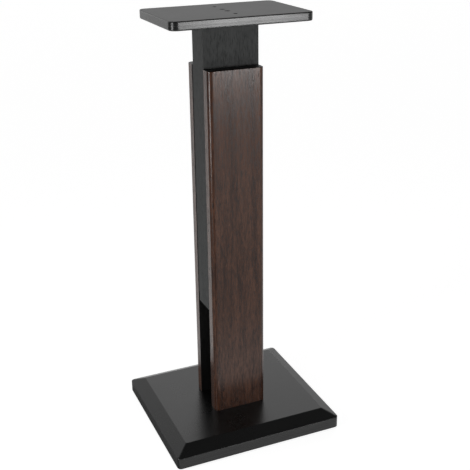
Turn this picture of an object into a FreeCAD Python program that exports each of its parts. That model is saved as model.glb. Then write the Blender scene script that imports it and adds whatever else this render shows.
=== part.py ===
"""Height-adjustable loudspeaker stand: a bevelled base board carries two veneered panels, and a box
column with the top plate slides up and down between them, locked from behind by two clamp knobs.

Frame: +Z up, origin on the floor under the middle of the base, front towards -Y. Millimetres.
"""
import FreeCAD, Part
import math
import os

import Sketcher

# Driving sizes of the stand, each with the name that the whole model uses for it.
SIZES = [
    # base board: a square edge, then a bevel up to the flat top
    ("base_width", 388.0),
    ("base_depth", 348.0),
    ("base_edge_height", 26.0),
    ("base_bevel_height", 15.0),
    ("base_bevel_inset", 29.0),
    ("base_corner_radius", 9.0),
    ("base_arris", 1.5),
    # rubber feet and their screws
    ("foot_height", 5.0),
    ("foot_diameter", 34.0),
    ("foot_taper", 1.5),
    ("foot_inset", 38.0),
    ("foot_seat", 1.8),
    ("foot_screw_diameter", 4.0),
    ("foot_screw_length", 19.0),
    ("foot_screw_head_rim", 2.25),
    ("foot_screw_sink", 0.8),
    ("foot_recess_rim", 1.75),
    # front and rear panels
    ("panel_width", 122.0),
    ("panel_thickness", 28.0),
    ("panel_height", 780.0),
    ("panel_round", 10.0),
    ("panel_top_round", 1.2),
    # bolts, inserts and dowels that hold the panels on the base
    ("panel_bolt_edge", 35.0),
    ("panel_bolt_diameter", 8.0),
    ("bolt_hole_clearance", 0.5),
    ("bolt_overrun", 4.4),
    ("bolt_head_rim", 2.5),
    ("bolt_head_height", 8.0),
    ("bolt_head_sink", 2.4),
    ("bolt_socket_width", 6.0),
    ("bolt_socket_depth", 4.0),
    ("bolt_washer_rim", 5.5),
    ("bolt_washer_thickness", 1.6),
    ("bolt_pocket_clearance", 1.0),
    ("insert_wall", 2.0),
    ("insert_length", 20.0),
    ("dowel_edge", 15.0),
    ("dowel_diameter", 8.0),
    ("dowel_length", 40.0),
    ("dowel_depth_in_base", 18.0),
    ("end_clearance", 2.0),
    ("tip_chamfer", 1.0),
    ("pin_clearance", 0.05),
    # sliding column
    ("column_depth", 58.0),
    ("column_wall", 9.0),
    ("column_arris", 0.8),
    ("plate_stop_gap", 16.0),
    ("slide_clearance", 0.4),
    ("travel_up", 275.0),
    ("travel_down", 75.0),
    ("guide_width", 12.0),
    ("guide_thickness", 5.2),
    ("guide_length", 515.0),
    ("head_block_floor", 12.0),
    # height lock
    ("clamp_spacing", 130.0),
    ("slot_cover", 10.6),
    ("slot_end_wall", 31.6),
    ("clamp_bolt_diameter", 8.0),
    ("clamp_bolt_tip", 3.5),
    ("clamp_bolt_grip", 18.0),
    ("slot_clearance", 0.4),
    ("clamp_bar_width", 30.0),
    ("clamp_bar_thickness", 4.0),
    ("clamp_bar_end", 30.0),
    ("clamp_nut_wall", 2.5),
    ("clamp_nut_height", 6.5),
    ("bush_wall", 2.0),
    ("bush_flange_rim", 7.0),
    ("bush_flange_thickness", 2.0),
    ("clamp_washer_rim", 7.0),
    ("clamp_washer_thickness", 1.6),
    ("knob_diameter", 50.0),
    ("knob_height", 20.0),
    ("knob_boss_diameter", 22.0),
    ("knob_boss_height", 5.0),
    ("knob_lobes", 6.0),
    ("knob_scallop_diameter", 18.0),
    ("knob_scallop_depth", 4.0),
    ("knob_edge_bevel", 2.5),
    ("knob_dish_diameter", 28.0),
    ("knob_dish_depth", 1.5),
    # top plate
    ("plate_width", 300.0),
    ("plate_depth", 204.0),
    ("plate_thickness", 18.0),
    ("plate_corner_radius", 15.0),
    ("plate_edge_round", 2.0),
    ("speaker_hole_spacing", 110.0),
    ("speaker_hole_diameter", 8.0),
    ("plate_screw_edge", 7.0),
    ("plate_screw_diameter", 6.0),
    ("plate_screw_reach", 22.0),
    ("plate_screw_head_rim", 2.75),
    ("plate_screw_clearance", 0.3),
    ("plate_screw_socket_width", 4.0),
    ("plate_screw_socket_depth", 2.4),
    ("head_insert_wall", 1.5),
    ("head_insert_length", 15.0),
]

# Heights, depths and diameters that follow from the sizes above, as expressions on them.
BASE_THICKNESS = "(base_edge_height + base_bevel_height)"
BASE_TOP = f"(foot_height + {BASE_THICKNESS})"
PANEL_TOP = f"({BASE_TOP} + panel_height)"
PANEL_INNER = "((column_depth + guide_thickness) / 2 + slide_clearance)"
PANEL_MIDDLE = f"({PANEL_INNER} + panel_thickness / 2)"
PANEL_OUTER = f"({PANEL_INNER} + panel_thickness)"

COLUMN_FRONT = f"(slide_clearance - {PANEL_INNER})"
COLUMN_REAR = f"({COLUMN_FRONT} + column_depth)"
COLUMN_MIDDLE = f"({COLUMN_FRONT} + column_depth / 2)"
DUCT_WIDTH = "(panel_width - 2 * column_wall)"
DUCT_DEPTH = "(column_depth - 2 * column_wall)"
COLUMN_TOP = f"({PANEL_TOP} + travel_down + plate_stop_gap)"
PLATE_TOP = f"({COLUMN_TOP} + plate_thickness)"

SLOT_RADIUS = "(clamp_bolt_diameter / 2 + slot_clearance)"
UPPER_CLAMP = f"({PANEL_TOP} - travel_down - end_clearance - {SLOT_RADIUS} - slot_cover)"
LOWER_CLAMP = f"({UPPER_CLAMP} - clamp_spacing)"
SLOT_HIGH = f"({UPPER_CLAMP} + travel_down + end_clearance)"
SLOT_LOW = f"({LOWER_CLAMP} - travel_up - end_clearance)"
COLUMN_BOTTOM = f"({SLOT_LOW} - {SLOT_RADIUS} - slot_end_wall)"
COLUMN_LENGTH = f"({COLUMN_TOP} - {COLUMN_BOTTOM})"

CLAMP_BORE = "(clamp_bolt_diameter + 2 * pin_clearance)"
BAR_REAR = f"({COLUMN_REAR} - column_wall - slide_clearance)"
BAR_FRONT = f"({BAR_REAR} - clamp_bar_thickness)"
NUT_FRONT = f"({BAR_FRONT} - clamp_nut_height)"
BOLT_TIP = f"({NUT_FRONT} - clamp_bolt_tip)"
BUSH_DIAMETER = "(clamp_bolt_diameter + 2 * bush_wall)"
BUSH_FACE = f"({PANEL_OUTER} + bush_flange_thickness)"
KNOB_FACE = f"({BUSH_FACE} + clamp_washer_thickness)"

BOLT_POCKET_DEPTH = "(bolt_head_height + bolt_washer_thickness + bolt_head_sink)"
BOLT_WASHER_DIAMETER = "(panel_bolt_diameter + 2 * bolt_washer_rim)"
BOLT_SEAT = f"(foot_height + {BOLT_POCKET_DEPTH} - bolt_washer_thickness)"
BOLT_REACH = "(insert_length + bolt_overrun)"
BOLT_LENGTH = f"({BASE_TOP} + {BOLT_REACH} - {BOLT_SEAT})"
BOLT_BORE = "(panel_bolt_diameter + 2 * pin_clearance)"
BOLT_HOLE = "(panel_bolt_diameter + 2 * bolt_hole_clearance)"
BOLT_FROM_MIDDLE = "(panel_width / 2 - panel_bolt_edge)"
INSERT_DIAMETER = "(panel_bolt_diameter + 2 * insert_wall)"
DOWEL_BORE = "(dowel_diameter + 2 * pin_clearance)"
DOWEL_FROM_MIDDLE = "(panel_width / 2 - dowel_edge)"

PLATE_SCREW_BORE = "(plate_screw_diameter + 2 * pin_clearance)"
PLATE_SCREW_HOLE = "(plate_screw_diameter + 2 * plate_screw_clearance)"
PLATE_SCREW_HEAD = "(plate_screw_diameter + 2 * plate_screw_head_rim)"
PLATE_SCREW_LENGTH = "(plate_thickness + plate_screw_reach)"
PLATE_SCREW_FROM_MIDDLE = f"({DUCT_DEPTH} / 2 - plate_screw_edge)"
HEAD_BLOCK_HEIGHT = "(plate_screw_reach + end_clearance + head_block_floor)"
HEAD_INSERT_DIAMETER = "(plate_screw_diameter + 2 * head_insert_wall)"

FOOT_SCREW_HOLE = "(foot_screw_diameter + 2 * pin_clearance)"
FOOT_SCREW_HEAD = "(foot_screw_diameter + 2 * foot_screw_head_rim)"
FOOT_RECESS_DEPTH = "(foot_height - foot_seat)"
FOOT_RECESS_DIAMETER = f"({FOOT_SCREW_HEAD} + 2 * foot_recess_rim)"
FOOT_SCREW_HEAD_HEIGHT = f"({FOOT_RECESS_DEPTH} - foot_screw_sink)"

ALONG_REAR = FreeCAD.Rotation(FreeCAD.Vector(1, 0, 0), -90)  # turns a piece made along Z to lie along +Y
UPRIGHT = FreeCAD.Rotation()
STEEP = 0.3  # an edge whose direction climbs more than this counts as a corner edge
SLACK = 0.01  # millimetres within which two places count as the same
HALF_TURN = FreeCAD.Rotation(FreeCAD.Vector(0, 0, 1), 180)
QUARTER_TURN = FreeCAD.Rotation(FreeCAD.Vector(0, 0, 1), 90)
THREE_QUARTER_TURN = FreeCAD.Rotation(FreeCAD.Vector(0, 0, 1), -90)

doc = FreeCAD.newDocument("speaker_stand")
sheet = doc.addObject("Spreadsheet::Sheet", "sizes")
for row, (alias, size) in enumerate(SIZES, start=1):
    sheet.set(f"A{row}", str(size))
    sheet.setAlias(f"A{row}", alias)
doc.recompute()
ALIASES = {alias for alias, _ in SIZES}
nodes = {}


def value(expression):
    """The present value of an expression on the sheet's sizes."""
    return float(sheet.evalExpression(str(expression)))


def bound(expression):
    """The expression as an object outside the sheet has to write it, with each size's sheet named."""
    words = []
    word = ""
    for letter in str(expression) + " ":
        if letter.isalnum() or letter == "_":
            word += letter
            continue
        words.append(f"sizes.{word}" if word in ALIASES else word)
        words.append(letter)
        word = ""
    return "".join(words).strip()


def bind(thing, **expressions):
    """Binds properties of an object to expressions on the sizes."""
    for name, expression in expressions.items():
        thing.setExpression(name, bound(expression))


def place(thing, x="0", y="0", z="0", turn=UPRIGHT):
    """Gives an object its place in the stand, with its position bound to the sizes."""
    thing.Placement = FreeCAD.Placement(FreeCAD.Vector(value(x), value(y), value(z)), turn)
    for axis, expression in zip("xyz", (x, y, z)):
        thing.setExpression(f"Placement.Base.{axis}", bound(expression))


def body(name):
    """An empty body."""
    made = doc.addObject("PartDesign::Body", name)
    made.Label = name
    return made


def keep(name, thing):
    """Counts an object as one of the stand's sub-parts."""
    thing.Label = name
    nodes[name] = thing
    return thing


def sketch(owner, name, plane="XY_Plane", lift="0"):
    """A sketch on one of a body's own origin planes, lifted along that plane's normal."""
    made = owner.newObject("Sketcher::SketchObject", f"{owner.Name}_{name}")
    support = next(o for o in owner.Origin.OriginFeatures if o.Role == plane)
    made.AttachmentSupport = (support, [""])
    made.MapMode = "FlatFace"
    made.AttachmentOffset = FreeCAD.Placement(FreeCAD.Vector(0, 0, value(lift)), FreeCAD.Rotation())
    made.setExpression("AttachmentOffset.Base.z", bound(lift))
    return made


def fix_point(drawing, geometry, end, x, y):
    """Holds a point of a sketch at two expressions, measured from the sketch's origin."""
    for kind, expression, axis in (("DistanceX", x, -2), ("DistanceY", y, -1)):
        if expression == "0":
            drawing.addConstraint(Sketcher.Constraint("PointOnObject", geometry, end, axis))
            continue
        rule = Sketcher.Constraint(kind, -1, 1, geometry, end, value(expression))
        number = drawing.addConstraint(rule)
        drawing.setExpression(f"Constraints[{number}]", bound(expression))


def outline(drawing, corners):
    """A closed straight-sided outline through corners, each an (x, y) pair of expressions."""
    points = [FreeCAD.Vector(value(x), value(y), 0) for x, y in corners]
    for number, point in enumerate(points):
        drawing.addGeometry(Part.LineSegment(point, points[(number + 1) % len(points)]))
    for number in range(len(points)):
        following = (number + 1) % len(points)
        drawing.addConstraint(Sketcher.Constraint("Coincident", number, 2, following, 1))
    for number, (x, y) in enumerate(corners):
        fix_point(drawing, number, 1, x, y)


def rectangle(drawing, width, depth):
    """A rectangle centred on the sketch's origin."""
    outline(
        drawing,
        [
            (f"-{width} / 2", f"-{depth} / 2"),
            (f"{width} / 2", f"-{depth} / 2"),
            (f"{width} / 2", f"{depth} / 2"),
            (f"-{width} / 2", f"{depth} / 2"),
        ],
    )


def circles(drawing, centres, diameter):
    """Circles of one diameter round centres, each an (x, y) pair of expressions."""
    for x, y in centres:
        middle = FreeCAD.Vector(value(x), value(y), 0)
        up = FreeCAD.Vector(0, 0, 1)
        number = drawing.addGeometry(Part.Circle(middle, up, value(diameter) / 2))
        fix_point(drawing, number, 3, x, y)
        rule = drawing.addConstraint(Sketcher.Constraint("Diameter", number, value(diameter)))
        drawing.setExpression(f"Constraints[{rule}]", bound(diameter))


def pad(owner, drawing, length):
    """Raises a sketch into a solid along its normal."""
    made = owner.newObject("PartDesign::Pad", f"{drawing.Name}_pad")
    made.Profile = drawing
    bind(made, Length=length)
    doc.recompute()
    return made


def cut(owner, drawing, depth, upwards=False):
    """Cuts a sketch into a body, downwards from the sketch or upwards, and makes sure it did."""
    before = owner.Shape.Volume
    made = owner.newObject("PartDesign::Pocket", f"{drawing.Name}_cut")
    made.Profile = drawing
    made.Reversed = upwards
    bind(made, Length=depth)
    doc.recompute()
    if made.Shape.Volume >= before:
        raise RuntimeError(f"{made.Name} cuts nothing")
    return made


def hole(owner, drawing, diameter, head, head_diameter, head_depth=None, depth=None, upwards=False):
    """Holes with a counterbore or countersink at a sketch's circles, through unless a depth is given."""
    before = owner.Shape.Volume
    made = owner.newObject("PartDesign::Hole", f"{drawing.Name}_hole")
    made.Profile = drawing
    doc.recompute()
    made.ThreadType = "None"
    made.HoleCutType = head
    made.HoleCutCustomValues = True
    made.Reversed = upwards
    bind(made, Diameter=diameter, HoleCutDiameter=head_diameter)
    if head == "Countersink":
        made.HoleCutCountersinkAngle = 90
    if head_depth:
        bind(made, HoleCutDepth=head_depth)
    made.DepthType = "Dimension" if depth else "ThroughAll"
    if depth:
        bind(made, Depth=depth)
    doc.recompute()
    if made.Shape.Volume >= before:
        raise RuntimeError(f"{made.Name} cuts nothing")
    return made


def edges(shape, wanted):
    """Names of the edges of a shape whose middle point and direction pass a test."""
    found = []
    for number, edge in enumerate(shape.Edges, start=1):
        middle = edge.valueAt((edge.FirstParameter + edge.LastParameter) / 2)
        along = edge.tangentAt((edge.FirstParameter + edge.LastParameter) / 2)
        if wanted(middle, along):
            found.append(f"Edge{number}")
    if not found:
        raise RuntimeError("no edge passes the test")
    return found


def soften(owner, wanted, radius, kind="PartDesign::Fillet"):
    """Rounds the edges of a body that pass a test, or chamfers them."""
    base = owner.Tip
    made = owner.newObject(kind, f"{owner.Name}_edge{len(owner.Group)}")
    made.Base = (base, edges(base.Shape, wanted))
    if kind.endswith("Fillet"):
        bind(made, Radius=radius)
    else:
        bind(made, Size=radius)
    doc.recompute()
    return made


def near(one, other):
    """True if two lengths are the same within a small slack."""
    return abs(one - other) < SLACK


def turned(name, profile):
    """A body of revolution about its own Z axis, from a half outline of (radius, height) pairs."""
    made = body(name)
    half = sketch(made, "half", "XZ_Plane")
    outline(half, profile)
    spun = made.newObject("PartDesign::Revolution", f"{name}_spun")
    spun.Profile = half
    spun.ReferenceAxis = (half, ["V_Axis"])
    spun.Angle = 360
    doc.recompute()
    return made


def group(name, members):
    """One sub-part made of several equal, separate pieces."""
    made = doc.addObject("Part::Compound", name)
    made.Links = members
    return keep(name, made)


def ring(name, outer, inner, height):
    """A plain washer, bush or sleeve, standing on its own origin."""
    profile = [
        (f"{inner} / 2", "0"),
        (f"{outer} / 2", "0"),
        (f"{outer} / 2", height),
        (f"{inner} / 2", height),
    ]
    return turned(name, profile)


def corner_signs():
    """The four corners of a rectangle, as pairs of signs."""
    return [(x, y) for x in ("-", "") for y in ("-", "")]


def foot_places():
    """Where the four feet stand, seen from above."""
    across = "(base_width / 2 - foot_inset)"
    along = "(base_depth / 2 - foot_inset)"
    return [(f"{x}{across}", f"{y}{along}") for x, y in corner_signs()]


def panel_bolt_places():
    """Where the bolts run up from the base into the panels."""
    return [(f"{x}{BOLT_FROM_MIDDLE}", f"{y}{PANEL_MIDDLE}") for x, y in corner_signs()]


def dowel_places():
    """Where the dowels stand between base and panels."""
    return [(f"{x}{DOWEL_FROM_MIDDLE}", f"{y}{PANEL_MIDDLE}") for x, y in corner_signs()]


def make_base_board():
    """The base: square edge, bevel with mitred corners, holes for panels and feet."""
    board = keep("base_board", body("base_board"))
    lower = sketch(board, "edge")
    rectangle(lower, "base_width", "base_depth")
    pad(board, lower, "base_edge_height")

    foot_of_bevel = sketch(board, "bevel_foot", lift="base_edge_height")
    rectangle(foot_of_bevel, "base_width", "base_depth")
    top = sketch(board, "bevel_top", lift=BASE_THICKNESS)
    rectangle(top, "(base_width - 2 * base_bevel_inset)", "(base_depth - 2 * base_bevel_inset)")
    bevel = board.newObject("PartDesign::AdditiveLoft", "base_board_bevel")
    bevel.Profile = foot_of_bevel
    bevel.Sections = [top]
    bevel.Ruled = True
    doc.recompute()
    soften(board, lambda middle, along: abs(along.z) > STEEP, "base_corner_radius")
    crest = value(BASE_THICKNESS)
    soften(board, lambda middle, along: near(middle.z, 0), "base_arris")
    soften(board, lambda middle, along: near(middle.z, crest), "base_arris")

    from_below = sketch(board, "bolt_holes")
    circles(from_below, panel_bolt_places(), BOLT_HOLE)
    pocket = f"({BOLT_WASHER_DIAMETER} + 2 * bolt_pocket_clearance)"
    hole(board, from_below, BOLT_HOLE, "Counterbore", pocket, head_depth=BOLT_POCKET_DEPTH, upwards=True)
    pilots = sketch(board, "foot_pilots")
    circles(pilots, foot_places(), FOOT_SCREW_HOLE)
    cut(board, pilots, "(foot_screw_length - foot_seat + end_clearance)", upwards=True)
    for_dowels = sketch(board, "dowel_holes", lift=BASE_THICKNESS)
    circles(for_dowels, dowel_places(), DOWEL_BORE)
    cut(board, for_dowels, "(dowel_depth_in_base + tip_chamfer)")
    place(board, z="foot_height")


def make_panel(name, side, turn):
    """One upright panel. Its own frame has the outer face towards +Y and the bottom at height 0."""
    panel = keep(name, body(name))
    section = sketch(panel, "section")
    rectangle(section, "panel_width", "panel_thickness")
    pad(panel, section, "panel_height")
    outer = value("panel_thickness") / 2
    high = value("panel_height")
    soften(panel, lambda middle, along: abs(along.z) > STEEP and near(middle.y, outer), "panel_round")
    soften(panel, lambda middle, along: near(middle.z, high), "panel_top_round")

    for_inserts = sketch(panel, "insert_holes")
    inserts = [(f"{x}{BOLT_FROM_MIDDLE}", "0") for x in ("-", "")]
    circles(for_inserts, inserts, f"({INSERT_DIAMETER} + 2 * pin_clearance)")
    cut(panel, for_inserts, f"({BOLT_REACH} + end_clearance)", upwards=True)
    for_dowels = sketch(panel, "dowel_holes")
    circles(for_dowels, [(f"{x}{DOWEL_FROM_MIDDLE}", "0") for x in ("-", "")], DOWEL_BORE)
    cut(panel, for_dowels, "(dowel_length - dowel_depth_in_base + tip_chamfer)", upwards=True)
    place(panel, y=f"{side}{PANEL_MIDDLE}", z=BASE_TOP, turn=turn)
    return panel


def make_rear_panel():
    """The rear panel also carries the bushes of the two clamp bolts."""
    panel = make_panel("rear_panel", "", UPRIGHT)
    through = sketch(panel, "bush_holes", "XZ_Plane", lift="-panel_thickness / 2")
    heights = [("0", f"({height} - {BASE_TOP})") for height in (UPPER_CLAMP, LOWER_CLAMP)]
    circles(through, heights, f"({BUSH_DIAMETER} + 2 * pin_clearance)")
    cut(panel, through, "panel_thickness", upwards=True)


def make_panel_fixings():
    """Bolts, washers, threaded inserts and dowels between the base and the panels."""
    bolts, washers, inserts, dowels = [], [], [], []
    for number, (x, y) in enumerate(panel_bolt_places(), start=1):
        name = f"panel_bolt_washer_{number}"
        washer = ring(name, BOLT_WASHER_DIAMETER, BOLT_BORE, "bolt_washer_thickness")
        place(washer, x, y, BOLT_SEAT)
        washers.append(washer)
        bolts.append(make_panel_bolt(f"panel_bolt_{number}", x, y))
        insert = ring(f"panel_insert_{number}", INSERT_DIAMETER, BOLT_BORE, "insert_length")
        place(insert, x, y, f"({BASE_TOP} + tip_chamfer)")
        inserts.append(insert)
    for number, (x, y) in enumerate(dowel_places(), start=1):
        dowel = turned(
            f"panel_dowel_{number}",
            [
                ("0", "0"),
                ("(dowel_diameter / 2 - tip_chamfer)", "0"),
                ("dowel_diameter / 2", "tip_chamfer"),
                ("dowel_diameter / 2", "(dowel_length - tip_chamfer)"),
                ("(dowel_diameter / 2 - tip_chamfer)", "dowel_length"),
                ("0", "dowel_length"),
            ],
        )
        place(dowel, x, y, f"({BASE_TOP} - dowel_depth_in_base)")
        dowels.append(dowel)
    group("panel_bolts", bolts)
    group("panel_bolt_washers", washers)
    group("panel_inserts", inserts)
    group("panel_dowels", dowels)


def make_panel_bolt(name, x, y):
    """A socket-head bolt that stands on its own head, shank upwards."""
    head_radius = "(panel_bolt_diameter / 2 + bolt_head_rim)"
    bolt = turned(
        name,
        [
            ("0", "-bolt_head_height"),
            (head_radius, "-bolt_head_height"),
            (head_radius, "0"),
            ("panel_bolt_diameter / 2", "0"),
            ("panel_bolt_diameter / 2", f"({BOLT_LENGTH} - tip_chamfer)"),
            ("(panel_bolt_diameter / 2 - tip_chamfer)", BOLT_LENGTH),
            ("0", BOLT_LENGTH),
        ],
    )
    socket = sketch(bolt, "socket", lift="-bolt_head_height")
    hexagon(socket, "bolt_socket_width")
    cut(bolt, socket, "bolt_socket_depth", upwards=True)
    place(bolt, x, y, BOLT_SEAT)
    return bolt


def hexagon(drawing, across_flats):
    """A hexagon centred on the sketch's origin, with two of its corners on the Y axis."""
    half = f"{across_flats} / 2"
    corner = f"{across_flats} / 2 / cos(30 deg)"
    middle = f"{across_flats} / 2 * tan(30 deg)"
    outline(
        drawing,
        [
            (half, f"-{middle}"),
            (half, middle),
            ("0", corner),
            (f"-{half}", middle),
            (f"-{half}", f"-{middle}"),
            ("0", f"-{corner}"),
        ],
    )


def make_feet():
    """Four rubber pads, each with a recessed pan-head screw."""
    names = ["foot_front_left", "foot_rear_left", "foot_front_right", "foot_rear_right"]
    tread_radius = "(foot_diameter / 2 - foot_taper)"
    head_radius = f"({FOOT_SCREW_HEAD} / 2)"
    screws = []
    for number, (name, (x, y)) in enumerate(zip(names, foot_places()), start=1):
        foot = turned(
            name,
            [
                (f"{FOOT_RECESS_DIAMETER} / 2", "0"),
                (tread_radius, "0"),
                ("foot_diameter / 2", "foot_height"),
                (f"{FOOT_SCREW_HOLE} / 2", "foot_height"),
                (f"{FOOT_SCREW_HOLE} / 2", FOOT_RECESS_DEPTH),
                (f"{FOOT_RECESS_DIAMETER} / 2", FOOT_RECESS_DEPTH),
            ],
        )
        keep(name, foot)
        place(foot, x, y)
        screw = turned(
            f"foot_screw_{number}",
            [
                ("0", f"-{FOOT_SCREW_HEAD_HEIGHT}"),
                (head_radius, f"-{FOOT_SCREW_HEAD_HEIGHT}"),
                (head_radius, "0"),
                ("foot_screw_diameter / 2", "0"),
                ("foot_screw_diameter / 2", "(foot_screw_length - foot_screw_diameter)"),
                ("0", "foot_screw_length"),
            ],
        )
        place(screw, x, y, FOOT_RECESS_DEPTH)
        screws.append(screw)
    group("foot_screws", screws)


def make_column_board(name, width, turn, x="0", y=COLUMN_MIDDLE):
    """A board of the box column, mitred on both sides. Its own frame has the outer face at y = 0."""
    board = keep(name, body(name))
    section = sketch(board, "section")
    half = f"{width} / 2"
    outline(
        section,
        [
            (f"(column_arris - {half})", "0"),
            (f"({half} - column_arris)", "0"),
            (f"({half} - column_arris / 2)", "column_arris / 2"),
            (f"({half} - column_wall)", "column_wall"),
            (f"(column_wall - {half})", "column_wall"),
            (f"(column_arris / 2 - {half})", "column_arris / 2"),
        ],
    )
    pad(board, section, COLUMN_LENGTH)
    place(board, x, y, COLUMN_BOTTOM, turn)
    return board


def make_column():
    """The four boards of the sliding box and the block that closes its top."""
    make_column_board("column_front_board", "panel_width", UPRIGHT, y=COLUMN_FRONT)
    rear = make_column_board("column_rear_board", "panel_width", HALF_TURN, y=COLUMN_REAR)
    slot = sketch(rear, "slot", "XZ_Plane")
    slot_outline(slot)
    cut(rear, slot, "column_wall")
    make_column_board("column_left_board", "column_depth", THREE_QUARTER_TURN, x="-panel_width / 2")
    make_column_board("column_right_board", "column_depth", QUARTER_TURN, x="panel_width / 2")

    block = keep("column_head_block", body("column_head_block"))
    section = sketch(block, "section")
    rectangle(section, f"({DUCT_WIDTH} - 2 * pin_clearance)", f"({DUCT_DEPTH} - 2 * pin_clearance)")
    pad(block, section, HEAD_BLOCK_HEIGHT)
    for_inserts = sketch(block, "insert_holes", lift=HEAD_BLOCK_HEIGHT)
    circles(for_inserts, plate_screw_places(), PLATE_SCREW_HOLE)
    hole(
        block,
        for_inserts,
        PLATE_SCREW_HOLE,
        "Counterbore",
        f"({HEAD_INSERT_DIAMETER} + 2 * pin_clearance)",
        head_depth="(head_insert_length + tip_chamfer)",
        depth="(plate_screw_reach + end_clearance)",
    )
    place(block, y=COLUMN_MIDDLE, z=f"({COLUMN_TOP} - {HEAD_BLOCK_HEIGHT})")


def slot_outline(drawing):
    """The long slot for the clamp bolts, measured from the column's bottom end."""
    low = f"({SLOT_LOW} - {COLUMN_BOTTOM})"
    high = f"({SLOT_HIGH} - {COLUMN_BOTTOM})"
    radius = value(SLOT_RADIUS)
    up = FreeCAD.Vector(0, 0, 1)
    bottom, top = FreeCAD.Vector(0, value(low), 0), FreeCAD.Vector(0, value(high), 0)
    across = FreeCAD.Vector(radius, 0, 0)
    drawing.addGeometry(Part.ArcOfCircle(Part.Circle(bottom, up, radius), math.pi, 2 * math.pi))
    drawing.addGeometry(Part.LineSegment(bottom + across, top + across))
    drawing.addGeometry(Part.ArcOfCircle(Part.Circle(top, up, radius), 0, math.pi))
    drawing.addGeometry(Part.LineSegment(top - across, bottom - across))
    for first, last in ((0, 1), (1, 2), (2, 3), (3, 0)):
        drawing.addConstraint(Sketcher.Constraint("Tangent", first, 2, last, 1))
    fix_point(drawing, 0, 3, "0", low)
    fix_point(drawing, 2, 3, "0", high)
    rule = drawing.addConstraint(Sketcher.Constraint("Radius", 0, radius))
    drawing.setExpression(f"Constraints[{rule}]", bound(SLOT_RADIUS))


def make_guides():
    """Two strips on the rear panel's inner face, which keep the column against the front panel."""
    inset = "(panel_width / 2 - column_arris)"
    for name, x in (("rear_guide_left", f"-{inset}"), ("rear_guide_right", f"({inset} - guide_width)")):
        strip = keep(name, doc.addObject("Part::Box", name))
        bind(strip, Length="guide_width", Width="guide_thickness", Height="guide_length")
        place(strip, x, f"({PANEL_INNER} - guide_thickness)", f"({PANEL_TOP} - guide_length)")


def make_clamp_bar():
    """The steel bar inside the column that the clamp bolts pull against the slotted board."""
    bar = keep("clamp_bar", body("clamp_bar"))
    section = sketch(bar, "face")
    rectangle(section, "clamp_bar_width", "(clamp_spacing + 2 * clamp_bar_end)")
    pad(bar, section, "clamp_bar_thickness")
    soften(bar, lambda middle, along: abs(along.z) > STEEP, "(clamp_bar_width / 3)")
    bores = sketch(bar, "bores", lift="clamp_bar_thickness")
    circles(bores, [("0", f"{side}clamp_spacing / 2") for side in ("-", "")], CLAMP_BORE)
    cut(bar, bores, "clamp_bar_thickness")
    place(bar, "0", BAR_FRONT, f"({UPPER_CLAMP} + {LOWER_CLAMP}) / 2", ALONG_REAR)

    nuts = []
    for which, height in (("upper", UPPER_CLAMP), ("lower", LOWER_CLAMP)):
        nut = body(f"clamp_nut_{which}")
        flats = sketch(nut, "flats")
        hexagon(flats, "(clamp_bolt_diameter + 2 * clamp_nut_wall)")
        pad(nut, flats, "clamp_nut_height")
        bore = sketch(nut, "bore", lift="clamp_nut_height")
        circles(bore, [("0", "0")], CLAMP_BORE)
        cut(nut, bore, "clamp_nut_height")
        place(nut, "0", NUT_FRONT, height, ALONG_REAR)
        nuts.append(nut)
    group("clamp_nuts", nuts)


def make_clamp(which, height):
    """One height lock: washer, bolt and lobed knob. Returns its flanged bush in the rear panel."""
    washer_diameter = "(clamp_bolt_diameter + 2 * clamp_washer_rim)"
    washer = ring(f"{which}_clamp_washer", washer_diameter, CLAMP_BORE, "clamp_washer_thickness")
    keep(washer.Name, washer)
    place(washer, "0", BUSH_FACE, height, ALONG_REAR)

    length = f"({KNOB_FACE} + clamp_bolt_grip - {BOLT_TIP})"
    bolt = turned(
        f"{which}_clamp_bolt",
        [
            ("0", "0"),
            ("(clamp_bolt_diameter / 2 - tip_chamfer)", "0"),
            ("clamp_bolt_diameter / 2", "tip_chamfer"),
            ("clamp_bolt_diameter / 2", length),
            ("0", length),
        ],
    )
    keep(bolt.Name, bolt)
    place(bolt, "0", BOLT_TIP, height, ALONG_REAR)
    make_knob(f"{which}_clamp_knob", height)

    flange_top = "(panel_thickness + bush_flange_thickness)"
    bush = turned(
        f"clamp_bush_{which}",
        [
            (f"{CLAMP_BORE} / 2", "0"),
            (f"{BUSH_DIAMETER} / 2", "0"),
            (f"{BUSH_DIAMETER} / 2", "panel_thickness"),
            (f"({BUSH_DIAMETER} / 2 + bush_flange_rim)", "panel_thickness"),
            (f"({BUSH_DIAMETER} / 2 + bush_flange_rim)", flange_top),
            (f"{CLAMP_BORE} / 2", flange_top),
        ],
    )
    place(bush, "0", PANEL_INNER, height, ALONG_REAR)
    return bush


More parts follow.
